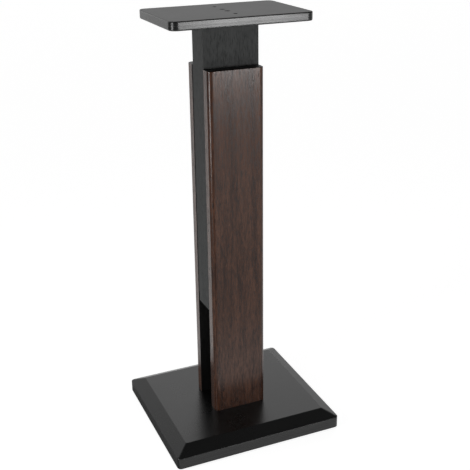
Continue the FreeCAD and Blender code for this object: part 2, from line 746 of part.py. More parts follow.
def make_knob(name, height):
    """A lobed hand knob: a boss, a dished head scalloped all round, bevelled rims and a blind bore."""
    knob = keep(name, body(name))
    foot = sketch(knob, "boss")
    circles(foot, [("0", "0")], "knob_boss_diameter")
    pad(knob, foot, "(knob_boss_height + knob_height / 2)")
    head = sketch(knob, "head", lift="knob_boss_height")
    circles(head, [("0", "0")], "knob_diameter")
    pad(knob, head, "knob_height")

    scallop = sketch(knob, "scallop", lift="(knob_boss_height + knob_height)")
    reach = "(knob_diameter / 2 + knob_scallop_diameter / 2 - knob_scallop_depth)"
    circles(scallop, [(reach, "0")], "knob_scallop_diameter")
    first = cut(knob, scallop, "knob_height")
    around = knob.newObject("PartDesign::PolarPattern", f"{name}_around")
    around.Originals = [first]
    around.Axis = (scallop, ["N_Axis"])
    around.Angle = 360
    bind(around, Occurrences="knob_lobes")
    knob.Tip = around
    doc.recompute()

    rim = value("knob_boss_height")
    crown = value("knob_boss_height + knob_height")
    boss = value("knob_boss_diameter") / 2
    soften(
        knob,
        lambda middle, along: (near(middle.z, crown) or near(middle.z, rim))
        and math.hypot(middle.x, middle.y) > boss + SLACK,
        "knob_edge_bevel",
        "PartDesign::Chamfer",
    )
    dish = sketch(knob, "dish", lift="(knob_boss_height + knob_height)")
    circles(dish, [("0", "0")], "knob_dish_diameter")
    cut(knob, dish, "knob_dish_depth")
    bore = sketch(knob, "bore")
    circles(bore, [("0", "0")], CLAMP_BORE)
    cut(knob, bore, "(clamp_bolt_grip + tip_chamfer)", upwards=True)
    place(knob, "0", KNOB_FACE, height, ALONG_REAR)


def plate_screw_places():
    """Where the plate's screws stand, measured from the middle of the column."""
    return [("0", f"{y}{PLATE_SCREW_FROM_MIDDLE}") for y in ("-", "")]


def make_top_plate():
    """The plate: rounded corners, softened edges, two countersunk screw holes and two speaker holes."""
    plate = keep("top_plate", body("top_plate"))
    section = sketch(plate, "section")
    rectangle(section, "plate_width", "plate_depth")
    pad(plate, section, "plate_thickness")
    soften(plate, lambda middle, along: abs(along.z) > STEEP, "plate_corner_radius")
    high = value("plate_thickness")
    soften(plate, lambda middle, along: near(middle.z, high) or near(middle.z, 0), "plate_edge_round")

    for_screws = sketch(plate, "screw_holes", lift="plate_thickness")
    circles(for_screws, plate_screw_places(), PLATE_SCREW_HOLE)
    sink = f"({PLATE_SCREW_HEAD} + 2 * plate_screw_clearance)"
    hole(plate, for_screws, PLATE_SCREW_HOLE, "Countersink", sink)
    for_speaker = sketch(plate, "speaker_holes", lift="plate_thickness")
    places = [("0", f"{y}speaker_hole_spacing / 2") for y in ("-", "")]
    circles(for_speaker, places, "speaker_hole_diameter")
    cut(plate, for_speaker, "plate_thickness")
    place(plate, y=COLUMN_MIDDLE, z=COLUMN_TOP)

    screws, inserts = [], []
    for number, (x, y) in enumerate(plate_screw_places(), start=1):
        along = f"({y} + {COLUMN_MIDDLE})"
        screws.append(make_plate_screw(f"plate_screw_{number}", x, along))
        insert = ring(f"head_insert_{number}", HEAD_INSERT_DIAMETER, PLATE_SCREW_BORE, "head_insert_length")
        place(insert, x, along, f"({COLUMN_TOP} - head_insert_length)")
        inserts.append(insert)
    group("plate_screws", screws)
    group("head_inserts", inserts)


def make_plate_screw(name, x, y):
    """A countersunk socket screw whose head lies flush with the plate's top."""
    screw = turned(
        name,
        [
            ("0", f"-{PLATE_SCREW_LENGTH}"),
            ("(plate_screw_diameter / 2 - tip_chamfer)", f"-{PLATE_SCREW_LENGTH}"),
            ("plate_screw_diameter / 2", f"(tip_chamfer - {PLATE_SCREW_LENGTH})"),
            ("plate_screw_diameter / 2", "-plate_screw_head_rim"),
            (f"{PLATE_SCREW_HEAD} / 2", "0"),
            ("0", "0"),
        ],
    )
    socket = sketch(screw, "socket")
    hexagon(socket, "plate_screw_socket_width")
    cut(screw, socket, "plate_screw_socket_depth")
    place(screw, x, y, f"({PLATE_TOP} - pin_clearance)")
    return screw


def check_and_write():
    """Stops if any object failed or any sub-part isn't sound, then writes each sub-part's file."""
    doc.recompute()
    for thing in doc.Objects:
        if "Invalid" in thing.State or "Error" in thing.State:
            raise RuntimeError(f"{thing.Name} failed: {thing.State}")
    for name, thing in nodes.items():
        if thing.Shape.isNull() or not thing.Shape.isValid() or thing.Shape.Volume <= 0:
            raise RuntimeError(f"{name} has no sound shape")
    os.makedirs("parts", exist_ok=True)
    for name, thing in nodes.items():
        thing.Shape.exportStep(os.path.join("parts", f"{name}.step"))
        print(f"{name}: {len(thing.Shape.Solids)} solid(s), {thing.Shape.Volume / 1000:.1f} cm3")


make_base_board()
make_panel("front_panel", "-", HALF_TURN)
make_rear_panel()
make_panel_fixings()
make_feet()
make_column()
make_guides()
make_clamp_bar()
group("clamp_bushes", [make_clamp("upper", UPPER_CLAMP), make_clamp("lower", LOWER_CLAMP)])
make_top_plate()
check_and_write()
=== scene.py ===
"""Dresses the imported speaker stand: painted, veneered and metal finishes on its parts, moulded knobs,
threaded clamp bolts, rubber feet and cross-head screws, and a pale studio with soft light.

Frame: +Z up, origin on the floor under the middle of the base, front towards -Y. Metres.
"""
import math

import bmesh
import bpy
from bpy.props import FloatProperty, FloatVectorProperty, PointerProperty
from mathutils import Matrix, Vector


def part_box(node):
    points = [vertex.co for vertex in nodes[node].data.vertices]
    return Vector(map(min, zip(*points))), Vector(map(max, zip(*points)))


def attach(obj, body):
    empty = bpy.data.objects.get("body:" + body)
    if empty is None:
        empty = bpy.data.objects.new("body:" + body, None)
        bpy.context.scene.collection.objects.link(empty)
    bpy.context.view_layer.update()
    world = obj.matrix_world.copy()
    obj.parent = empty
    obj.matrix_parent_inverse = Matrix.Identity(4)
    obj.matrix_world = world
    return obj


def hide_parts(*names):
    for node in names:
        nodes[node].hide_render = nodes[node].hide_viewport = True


bl_info = {
    "name": "Speaker Stand",
    "version": (1, 0, 0),
    "blender": (4, 5, 0),
    "location": "3D View > Sidebar > Speaker Stand",
    "description": "Finishes, knobs, bolts and feet of a height-adjustable speaker stand, with its studio",
    "category": "Object",
}

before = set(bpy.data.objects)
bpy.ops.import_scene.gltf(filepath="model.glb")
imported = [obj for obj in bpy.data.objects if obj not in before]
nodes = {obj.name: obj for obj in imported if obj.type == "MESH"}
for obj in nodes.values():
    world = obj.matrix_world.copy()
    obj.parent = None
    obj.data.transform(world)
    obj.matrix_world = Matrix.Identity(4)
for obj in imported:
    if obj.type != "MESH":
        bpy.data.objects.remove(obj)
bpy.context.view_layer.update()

FEET = ["foot_front_left", "foot_rear_left", "foot_front_right", "foot_rear_right"]
CLAMPS = ["upper", "lower"]
ALONG_REAR = (-math.pi / 2, 0, 0)  # turns a piece made along Z to lie along +Y
HAIR = 1e-5  # two heights closer than this are taken as one
MOSTLY = 0.99  # a face whose direction has this much of an axis faces along it

LOBES = 6
KNOB_POINTS = 6 * LOBES
LOBE_TURN = 360 / LOBES  # degrees from lobe to lobe
POINT_TURN = 360 / KNOB_POINTS  # degrees from point to point
KNOB_HEAD_HEIGHT = 0.020
COLLAR_RADIUS = 0.0108
COLLAR_SINK = 0.002  # how deep the collar stands in the knob's head

FOOT_RECESS = 0.0032  # depth of the hollow in the tread that holds the screw's head
SCREW_HEAD_RADIUS = 0.00425
SCREW_HEAD_HEIGHT = 0.0024
SCREW_SHANK_RADIUS = 0.00198
SCREW_SHANK_LENGTH = 0.0186
CROSS_HALF_WIDTH = 0.00045

PHOTO_SIDE = 470  # pixels, each way
AXIS_OVER_MIDDLE = 23  # pixels that the lens's axis lies over the picture's middle


def middle_of(node):
    """The middle of a part's box."""
    low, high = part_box(node)
    return (low + high) / 2


def size_of(node):
    """The width, depth and height of a part's box."""
    low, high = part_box(node)
    return high - low


# ---------------------------------------------------------------- sizes and colours a user may change


def shade(label, words, colour):
    """A colour property."""
    return FloatVectorProperty(
        name=label, description=words, subtype="COLOR", size=3, min=0, max=1, default=colour
    )


def length(label, words, metres):
    """A length property in metres."""
    return FloatProperty(name=label, description=words, unit="LENGTH", default=metres, min=0, precision=5)


def share(label, words, amount):
    """A property from nothing to all."""
    return FloatProperty(name=label, description=words, subtype="FACTOR", default=amount, min=0, max=1)


def angle(label, words, degrees):
    """An angle property."""
    return FloatProperty(name=label, description=words, subtype="ANGLE", default=math.radians(degrees))


def wattage(label, words, watts):
    """A light's power."""
    return FloatProperty(name=label, description=words, default=watts, min=0)


class StandPaint(bpy.types.PropertyGroup):
    """Paint of the base, the plate and the column."""

    base_black: shade("Base black", "Satin lacquer of the base", (0.0035, 0.0036, 0.0036))
    base_roughness: share("Base roughness", "How much the base's lacquer spreads a reflection", 0.28)
    plate_black: shade("Plate black", "Satin lacquer of the top plate", (0.011, 0.0112, 0.011))
    plate_roughness: share("Plate roughness", "How much the plate's lacquer spreads a reflection", 0.42)
    ash_black: shade("Column black", "Stained ash of the sliding column", (0.019, 0.0209, 0.0204))
    ash_roughness: share("Column roughness", "How much the stained ash spreads a reflection", 0.56)
    crease: length("Crease", "Radius that the lacquer gives a sharp edge", 0.0021)


class StandVeneer(bpy.types.PropertyGroup):
    """Walnut veneer of the two panels."""

    dark: shade("Dark grain", "Darkest lines of the veneer", (0.024, 0.0098, 0.0064))
    middle: shade("Ground", "Ground colour of the veneer", (0.070, 0.0300, 0.0180))
    light: shade("Light grain", "Warmest streaks of the veneer", (0.118, 0.053, 0.032))
    roughness: share("Roughness", "How much the varnish spreads a reflection", 0.24)
    figure: FloatProperty(
        name="Figure", description="How close the growth rings lie", default=9.0, min=1, max=30
    )
    edge_black: shade("End black", "Black of the ends and inner faces", (0.006, 0.0058, 0.0055))


class StandFittings(bpy.types.PropertyGroup):
    """Knobs, clamp bolts, feet and screws."""

    knob_waist: share("Knob waist", "Radius between two lobes as a share of the whole", 0.845)
    knob_edge: length("Knob edge", "Rounding of the knob's rims", 0.0026)
    knob_rim: length("Knob rim", "Width of the crown round the dish", 0.0056)
    knob_dish: length("Knob dish", "Depth of the dish in the crown", 0.0015)
    cap_diameter: length("Cap diameter", "Diameter of the cap in the dish", 0.0262)
    thread_pitch: length("Thread pitch", "Pitch of the clamp bolts' thread", 0.00125)
    thread_depth: length("Thread depth", "Height of the thread over its core", 0.00062)
    foot_taper: length("Foot taper", "How much narrower the tread is at each side", 0.0015)
    foot_edge: length("Foot edge", "Rounding of the foot's rims", 0.0006)
    groove: length("Groove", "Width and depth of the ring in a foot's tread", 0.0009)
    cross_reach: length("Cross reach", "Half length of a screw's cross recess", 0.0024)


class StandStudio(bpy.types.PropertyGroup):
    """Camera, floor and soft light."""

    eye: FloatVectorProperty(
        name="Eye", description="Where the camera stands", subtype="TRANSLATION", size=3,
        default=(-0.6649, -1.6192, 1.1694),
    )
    heading: angle("Heading", "Turn of the camera", 22.850)
    pitch: angle("Pitch", "Dip of the camera", 20.8663)
    roll: angle("Roll", "Lean of the camera", -0.7715)
    lens: FloatProperty(name="Lens", description="Focal length", subtype="DISTANCE_CAMERA", default=65.85)
    floor_size: length("Floor", "Side of the floor", 60.0)
    floor_glow: share("Floor glow", "Light that reflections see on the lit part of the floor", 0.70)
    left_light: wattage("Left light", "Power of the tall light on the left", 9.0)
    front_light: wattage("Front light", "Power of the light in front, a little to the right", 14.5)


GROUPS = {
    "stand_paint": StandPaint,
    "stand_veneer": StandVeneer,
    "stand_fittings": StandFittings,
    "stand_studio": StandStudio,
}


# ---------------------------------------------------------------- shader maths


class Wire:
    """A socket on its way through a finish. Arithmetic on it adds the Math nodes."""

    def __init__(self, finish, socket):
        self.finish = finish
        self.socket = socket

    def __add__(self, other):
        return self.finish.sum("ADD", self, other)

    __radd__ = __add__

    def __sub__(self, other):
        return self.finish.sum("SUBTRACT", self, other)

    def __rsub__(self, other):
        return self.finish.sum("SUBTRACT", other, self)

    def __mul__(self, other):
        return self.finish.sum("MULTIPLY", self, other)

    __rmul__ = __mul__


class Finish:
    """A node tree in the making, and the few words that every finish here is written in."""

    def __init__(self, tree):
        self.tree = tree
        tree.nodes.clear()

    def node(self, kind, settings=None, inputs=None, out=0):
        """Adds a node: its settings first, then its sockets' values or wires. Gives back one output."""
        made = self.tree.nodes.new(kind)
        for name, setting in (settings or {}).items():
            if name == "stops":
                self.set_stops(made.color_ramp, setting)
            else:
                setattr(made, name, setting)
        for name, source in (inputs or {}).items():
            socket = self.find(made.inputs, name)
            if isinstance(source, Wire):
                self.tree.links.new(source.socket, socket)
            else:
                socket.default_value = source
        return Wire(self, self.find(made.outputs, out)) if made.outputs else None

    @staticmethod
    def find(sockets, name):
        """A socket by its number, its identifier or its name."""
        if isinstance(name, int):
            return sockets[name]
        for socket in sockets:
            if socket.identifier == name:
                return socket
        return next(socket for socket in sockets if socket.name == name)

    @staticmethod
    def set_stops(ramp, stops):
        """Gives a colour ramp its (place, colour) stops."""
        while len(ramp.elements) < len(stops):
            ramp.elements.new(1.0)
        for element, (place, colour) in zip(ramp.elements, stops):
            element.position = place
            element.color = rgba(colour)

    def sum(self, operation, *terms):
        """One Math node."""
        return self.node("ShaderNodeMath", {"operation": operation}, dict(enumerate(terms)))

    def place(self):
        """The point on the object, in metres."""
        return self.node("ShaderNodeTexCoord", out="Object")

    def facing(self):
        """The way that the surface faces."""
        return self.node("ShaderNodeTexCoord", out="Normal")

    def along(self, vector, axis):
        """One of a vector's three numbers."""
        return self.node("ShaderNodeSeparateXYZ", inputs={"Vector": vector}, out="XYZ".index(axis))

    def stretched(self, scale, shift=(0, 0, 0)):
        """The point on the object, each axis scaled, so that a pattern is long or short along it."""
        return self.node("ShaderNodeMapping", {}, {"Vector": self.place(), "Scale": scale, "Location": shift})

    def noise(self, scale, detail=2.0, roughness=0.5, distortion=0.0, shift=(0, 0, 0)):
        """Soft random variation, with so many waves in a metre along each axis."""
        return self.node(
            "ShaderNodeTexNoise",
            {"noise_dimensions": "3D"},
            {"Vector": self.stretched(scale, shift), "Scale": 1.0, "Detail": detail, "Roughness": roughness,
             "Distortion": distortion},
            out="Fac",
        )

    def rise(self, value, low, high):
        """Goes smoothly from 0 at the first bound to 1 at the second, which may be the smaller one."""
        return self.node(
            "ShaderNodeMapRange",
            {"interpolation_type": "SMOOTHSTEP"},
            {"Value": value, "From Min": low, "From Max": high},
        )

    def unsigned(self, value):
        """A value without its sign."""
        return self.sum("ABSOLUTE", value)

    def blend(self, mask, first, second):
        """The first colour where the mask is 0, the second where it is 1."""
        first, second = (c if isinstance(c, Wire) else rgba(c) for c in (first, second))
        return self.node(
            "ShaderNodeMix",
            {"data_type": "RGBA"},
            {"Factor_Float": mask, "A_Color": first, "B_Color": second},
            out="Result_Color",
        )

    def relief(self, height, distance, strength=1.0, under=None):
        """A Bump node over a height between 0 and 1, with distance as its depth in metres."""
        inputs = {"Height": height, "Distance": distance, "Strength": strength}
        if under:
            inputs["Normal"] = under
        return self.node("ShaderNodeBump", {}, inputs, out="Normal")

    def softened(self, radius):
        """The surface's direction, with its sharp edges rounded over a radius."""
        return self.node("ShaderNodeBevel", {"samples": 6}, {"Radius": radius}, out="Normal")

    def surface(self, colour, roughness, normal=None, **constants):
        """The Principled shader and the output. Constants are socket names with _ for a space."""
        inputs = {"Base Color": colour if isinstance(colour, Wire) else rgba(colour), "Roughness": roughness}
        if normal:
            inputs["Normal"] = normal
        inputs.update({name.replace("_", " "): value for name, value in constants.items()})
        shader = self.node("ShaderNodeBsdfPrincipled", {}, inputs, out="BSDF")
        self.node("ShaderNodeOutputMaterial", {}, {"Surface": shader})


def rgba(colour):
    """A colour with its alpha."""
    return (*tuple(colour)[:3], 1.0)


def finish_of(name):
    """A new material and the finish that its nodes are written in."""
    material = bpy.data.materials.new(name)
    material.use_nodes = True
    return material, Finish(material.node_tree)


def paint(material, *parts):
    """Gives parts their finish."""
    for part in parts:
        thing = nodes[part] if isinstance(part, str) else part
        thing.data.materials.clear()
        thing.data.materials.append(material)


# ---------------------------------------------------------------- finishes


def base_lacquer():
    """Satin black lacquer: cloudy, with a fine orange peel, softened creases and lined upright edges."""
    look = bpy.context.scene.stand_paint
    material, f = finish_of("base lacquer")
    cloud = f.noise((9, 9, 9), detail=3)
    peel = f.noise((520, 520, 520), detail=1)
    wall = 1 - f.rise(f.unsigned(f.along(f.facing(), "Z")), 0.2, 0.5)
    lines = f.noise((6, 6, 640), detail=3, roughness=0.7)
    black = f.blend(cloud, look.base_black, [c * 1.35 for c in look.base_black])
    black = f.blend(wall * f.rise(lines, 0.40, 0.70), black, [c * 5.5 for c in look.base_black])
    roughness = look.base_roughness + (cloud - 0.5) * 0.09 + wall * (lines - 0.5) * 0.5
    f.surface(black, roughness, f.relief(peel, 0.000005, 0.2, f.softened(look.crease)), IOR=1.52)
    return material


def plate_lacquer():
    """Satin black lacquer over board: matter on top, thin lines along the sides, and painted shade in the
    holes.
    """
    look = bpy.context.scene.stand_paint
    material, f = finish_of("plate lacquer")
    side = 1 - f.rise(f.unsigned(f.along(f.facing(), "Z")), 0.35, 0.8)
    cloud = f.noise((14, 14, 14), detail=3)
    lines = f.noise((5, 5, 900), detail=3, roughness=0.7)
    weave = f.noise((18, 420, 420), detail=2)
    tone = f.blend(cloud, look.plate_black, [c * 1.3 for c in look.plate_black])
    tone = f.blend(side * f.rise(lines, 0.45, 0.75), tone, [c * 3.2 for c in look.plate_black])
    roughness = look.plate_roughness + (cloud - 0.5) * 0.06 - side * 0.16 + side * (lines - 0.5) * 0.25
    height = side * lines + (1 - side) * weave
    # painted shade: the walls of the holes are coloured near black and made rougher, standing in for the
    # shade inside them
    off_line = f.rise(f.unsigned(f.along(f.place(), "X")), 0.0055, 0.0070)
    off_end = f.rise(f.unsigned(f.along(f.place(), "Y") - middle_of("top_plate").y), 0.088, 0.095)
    hole_shade = side * (1 - off_line) * (1 - off_end)
    tone = f.blend(hole_shade, tone, (0.002, 0.002, 0.002))
    roughness = roughness + hole_shade * 0.4
    f.surface(tone, roughness, f.relief(height, 0.00003, 0.5, f.softened(look.crease * 1.5)), IOR=1.5)
    return material


def black_ash():
    """Black-stained ash: open pores in long lines up the boards, hardly any gloss."""
    look = bpy.context.scene.stand_paint
    material, f = finish_of("black ash")
    pores = f.noise((800, 800, 75), detail=3, roughness=0.65, distortion=0.4)
    figure = f.noise((90, 90, 6), detail=2, distortion=0.6)
    open_pore = f.rise(pores, 0.50, 0.66)
    tone = f.blend(figure, [c * 0.95 for c in look.ash_black], [c * 1.08 for c in look.ash_black])
    tone = f.blend(open_pore * 0.4, tone, [c * 0.35 for c in look.ash_black])
    roughness = look.ash_roughness + open_pore * 0.15 + (figure - 0.5) * 0.1
    f.surface(tone, roughness, f.relief(1 - open_pore, 0.00012, 0.7), IOR=1.47)
    return material


def walnut_veneer():
    """Dark walnut veneer: growth rings, streaks, fibres, dashes and pores, on black ends and inner faces."""
    look = bpy.context.scene.stand_veneer
    material, f = finish_of("walnut veneer")
    wander = f.noise((11, 5, 0.85), detail=2, distortion=0.25, shift=(0.3, 0, 0.1))
    rings = f.sum("PINGPONG", wander * look.figure, 0.5) * 2
    streak = f.noise((150, 90, 4.5), detail=3, roughness=0.6)
    fibre = f.noise((520, 380, 16), detail=3, roughness=0.7)
    pore = f.rise(f.noise((560, 450, 52), detail=1, distortion=0.6), 0.56, 0.64)
    dash = f.noise((320, 260, 40), detail=2, roughness=0.65, distortion=1.1)
    tone = rings * 0.10 + streak * 0.20 + fibre * 0.24 + dash * 0.56
    colour = f.node(
        "ShaderNodeValToRGB",
        {"stops": [(0.43, look.dark), (0.55, look.middle), (0.69, look.light)]},
        {"Fac": tone},
        out="Color",
    )
    colour = f.blend(pore * 0.85, colour, [c * 0.7 for c in look.dark])
    inner_face = -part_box("front_panel")[1].y
    end = f.rise(f.unsigned(f.along(f.facing(), "Z")), 0.45, 0.7)
    outside = f.rise(f.unsigned(f.along(f.place(), "Y")), inner_face + 0.0002, inner_face + 0.0010)
    black = f.sum("MAXIMUM", end, 1 - outside)
    colour = f.blend(black, colour, look.edge_black)
    roughness = look.roughness + (fibre - 0.5) * 0.16 + (0.5 - dash) * 0.34 + pore * 0.14 + black * 0.2
    height = fibre * 0.4 + dash * 0.4 - pore * 0.5
    f.surface(colour, roughness, f.relief(height, 0.00007, 0.6), IOR=1.5)
    return material


def moulded(name, colour, roughness, grain=700, depth=0.00005, **constants):
    """A moulded material with a fine spark-eroded texture, such as rubber or plastic."""
    material, f = finish_of(name)
    speck = f.noise((grain, grain, grain), detail=2)
    cloud = f.noise((40, 40, 40), detail=2)
    tone = f.blend(cloud, [c * 0.85 for c in colour], [c * 1.2 for c in colour])
    f.surface(tone, roughness + (speck - 0.5) * 0.12, f.relief(speck, depth, 0.5), **constants)
    return material


def metal(name, colour, roughness, grain=(900, 60, 900)):
    """Metal with fine drawn or turned lines and a little cloudiness."""
    material, f = finish_of(name)
    lines = f.noise(grain, detail=2, roughness=0.6)
    cloud = f.noise((60, 60, 60), detail=2)
    tone = f.blend(cloud, [c * 0.8 for c in colour], colour)
    f.surface(tone, roughness + (cloud - 0.5) * 0.15, f.relief(lines, 0.00001, 0.5), Metallic=1.0)
    return material


def bare_wood(name, light, dark, scale):
    """Plain unfinished wood or board, with its grain up the piece."""
    material, f = finish_of(name)
    fibre = f.noise(scale, detail=4, roughness=0.6)
    figure = f.noise([s * 0.12 for s in scale], detail=2, distortion=0.5)
    tone = f.blend(f.rise(fibre * 0.6 + figure * 0.4, 0.35, 0.65), light, dark)
    f.surface(tone, 0.75 + (fibre - 0.5) * 0.1, f.relief(fibre, 0.0001, 0.5))
    return material


# ---------------------------------------------------------------- modelling


def start(add, **how):
    """Deselects everything and adds a primitive."""
    bpy.ops.object.select_all(action="DESELECT")
    add(**how)
    return bpy.context.active_object


def hold(*pieces):
    """Makes these the only selected objects, the first of them active."""
    bpy.ops.object.select_all(action="DESELECT")
    for piece in pieces:
        piece.select_set(True)
    bpy.context.view_layer.objects.active = pieces[0]


def select_by(kind):
    """In edit mode, sets whether points, edges or faces are selected, and selects none."""
    bpy.context.tool_settings.mesh_select_mode = (kind == "VERT", kind == "EDGE", kind == "FACE")
    bpy.ops.mesh.select_all(action="DESELECT")


def edit(piece, kind="FACE"):
    """Enters edit mode on one piece with nothing selected."""
    hold(piece)
    bpy.ops.object.mode_set(mode="EDIT")
    select_by(kind)


def pick(piece, kind, wanted):
    """In edit mode, selects the faces, edges or points that pass a test."""
    select_by(kind)
    mesh = bmesh.from_edit_mesh(piece.data)
    found = 0
    for part in {"VERT": mesh.verts, "EDGE": mesh.edges, "FACE": mesh.faces}[kind]:
        if wanted(part):
            part.select_set(True)
            found += 1
    if not found:
        raise RuntimeError(f"{piece.name}: nothing passes the test")
    bmesh.update_edit_mesh(piece.data)


def leave():
    """Back to object mode."""
    bpy.ops.object.mode_set(mode="OBJECT")


def settle(piece, turn=None):
    """Turns a piece into place, if asked, and puts its place into its mesh."""
    hold(piece)
    if turn:
        piece.rotation_euler = turn
    bpy.ops.object.transform_apply(location=True, rotation=True, scale=True)


def shape(piece, name, kind, **settings):
    """Adds a modifier with these settings and applies it."""
    hold(piece)
    added = piece.modifiers.new(name, kind)
    for setting, value in settings.items():
        setattr(added, setting, value)
    bpy.ops.object.modifier_apply(modifier=added.name)


def smooth(piece, degrees=35):
    """Shades a piece smooth, apart from edges sharper than an angle."""
    hold(piece)
    bpy.ops.object.shade_smooth_by_angle(angle=math.radians(degrees))


def right_way_out(piece):
    """Makes all faces point outwards."""
    edit(piece)
    bpy.ops.mesh.select_all(action="SELECT")
    bpy.ops.mesh.normals_make_consistent(inside=False)
    leave()


def join(name, *pieces):
    """Makes one object of several."""
    hold(*pieces)
    if len(pieces) > 1:
        bpy.ops.object.join()
    whole = bpy.context.active_object
    whole.name = name
    whole.data.name = name
    return whole


def again(piece, name, step):
    """A copy of a piece with its own mesh, a step away."""
    hold(piece)
    bpy.ops.object.duplicate(linked=False)
    other = bpy.context.active_object
    other.location = step
    settle(other)
    other.name = name
    other.data.name = name
    return other


def fit(piece, body, slot, material, *parts):
    """Finishes a piece, lets it move with a body and stand for its parts."""
    paint(material, piece)
    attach(piece, body)
    if parts:
        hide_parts(*parts)


def level(part):
    """The height of a face's or edge's middle in the mesh's own frame."""
    if isinstance(part, bmesh.types.BMFace):
        return part.calc_center_median().z
    return sum(v.co.z for v in part.verts) / len(part.verts)


def faces_up(face):
    """Whether a face looks up along the mesh's own Z."""
    return face.normal.z > MOSTLY


def faces_down(face):
    """Whether a face looks down along the mesh's own Z."""
    return face.normal.z < -MOSTLY


def knob_head(name, seat):
    """The lobed head: a cylinder drawn in between its lobes, its rims rounded and its crown dished."""
    look = bpy.context.scene.stand_fittings
    low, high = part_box(name)
    radius, height = (high.x - low.x) / 2, KNOB_HEAD_HEIGHT
    head = start(
        bpy.ops.mesh.primitive_cylinder_add, vertices=KNOB_POINTS, radius=radius, depth=height,
        end_fill_type="NGON", location=(seat.x, high.y - height / 2, seat.z),
    )
    edit(head)
    shoulder = look.knob_waist + (1 - look.knob_waist) * 0.32
    for offset, inwards in ((0, look.knob_waist), (POINT_TURN, shoulder)):
        def in_scallop(point, offset=offset):
            turn = math.degrees(math.atan2(point.co.y, point.co.x)) % LOBE_TURN
            return abs(min(turn, LOBE_TURN - turn) - offset) < 1
        pick(head, "VERT", in_scallop)
        bpy.ops.transform.resize(value=(inwards, inwards, 1), center_override=head.location)
    rims = height / 2 - HAIR
    pick(head, "EDGE", lambda e: abs(level(e)) > rims)
    bpy.ops.mesh.bevel(offset=look.knob_edge, segments=3, profile=0.55, affect="EDGES")
    pick(head, "FACE", lambda face: faces_up(face) and face.calc_area() > radius**2)
    bpy.ops.mesh.inset(thickness=look.knob_rim, depth=0)
    bpy.ops.transform.tosphere(value=1.0)  # makes the dish round between the lobes
    bpy.ops.mesh.inset(thickness=look.knob_dish, depth=-look.knob_dish)
    dish_lip = 0.0008
    bpy.ops.mesh.inset(thickness=dish_lip, depth=0)
    pick(head, "FACE", lambda face: faces_down(face) and face.calc_area() > radius**2)
    under_rim, under_slope, under_hollow = 0.003, 0.001, 0.0012
    bpy.ops.mesh.inset(thickness=under_rim, depth=0)
    bpy.ops.mesh.inset(thickness=under_slope, depth=-under_hollow)
    leave()
    shape(head, "round", "SUBSURF", levels=2, render_levels=2)
    smooth(head, 50)
    settle(head, ALONG_REAR)
    return head


def knob_boss(seat, front, rear):
    """The collar between the knob's head and its washer, a little narrower and rounded at its foot."""
    boss = start(
        bpy.ops.mesh.primitive_cylinder_add, vertices=48, radius=COLLAR_RADIUS, depth=rear - front,
        end_fill_type="NGON", location=(seat.x, (front + rear) / 2, seat.z),
    )
    edit(boss)
    foot, waist, foot_round = -(rear - front) / 2, 0.93, 0.0007
    pick(boss, "FACE", faces_down)
    bpy.ops.transform.resize(value=(waist, waist, 1), center_override=boss.location)
    pick(boss, "EDGE", lambda e: level(e) < foot + HAIR)
    bpy.ops.mesh.bevel(offset=foot_round, segments=3, affect="EDGES")
    leave()
    smooth(boss)
    settle(boss, ALONG_REAR)
    return boss


def knob_cap(seat, crown):
    """The domed cap that closes the dish."""
    look = bpy.context.scene.stand_fittings
    thick = look.knob_dish
    cap = start(
        bpy.ops.mesh.primitive_cylinder_add, vertices=48, radius=look.cap_diameter / 2, depth=thick,
        end_fill_type="NGON", location=(seat.x, crown - thick / 2, seat.z),
    )
    edit(cap)
    pick(cap, "FACE", faces_up)
    dome_height = 0.0007
    bpy.ops.transform.translate(value=(0, 0, -dome_height))
    for width, rise in ((0.0009, 0.0003), (0.0035, 0.0002), (0.0035, 0.0001)):
        bpy.ops.mesh.inset(thickness=width, depth=rise)
    leave()
    smooth(cap, 50)
    settle(cap, ALONG_REAR)
    return cap


def bolt_thread(radius, low, high, seat):
    """A ridge wound round the bolt's core, right-handed, from a small pointed profile."""
    look = bpy.context.scene.stand_fittings
    turns = int((high - low) / look.thread_pitch) - 2
    half_foot = look.thread_pitch * 0.47
    ridge = start(
        bpy.ops.mesh.primitive_circle_add, vertices=4, radius=half_foot, fill_type="NOTHING",
        location=(radius - look.thread_depth, 0, 0), rotation=(math.pi / 2, 0, 0),
    )
    ridge.scale = (look.thread_depth / half_foot, 1, 1)
    settle(ridge)
    shape(
        ridge, "wind", "SCREW", axis="Z", angle=math.tau, screw_offset=look.thread_pitch, iterations=turns,
        steps=18, render_steps=18, use_merge_vertices=False,
    )
    edit(ridge, "EDGE")
    bpy.ops.mesh.select_non_manifold()
    bpy.ops.mesh.fill_holes(sides=4)
    leave()
    right_way_out(ridge)
    ridge.location = (seat.x, low + look.thread_pitch, seat.z)
    settle(ridge, ALONG_REAR)
    return ridge


def bolt_core(radius, low, high, seat):
    """The bolt's core, pointed at its free end."""
    look = bpy.context.scene.stand_fittings
    core = start(
        bpy.ops.mesh.primitive_cylinder_add, vertices=32, radius=radius - look.thread_depth * 0.98,
        depth=high - low, end_fill_type="NGON", location=(seat.x, (low + high) / 2, seat.z),
    )
    tip, point = (low - high) / 2, 0.0009
    edit(core)
    pick(core, "EDGE", lambda e: level(e) < tip + HAIR)
    bpy.ops.mesh.bevel(offset=point, segments=2, affect="EDGES")
    leave()
    settle(core, ALONG_REAR)
    return core


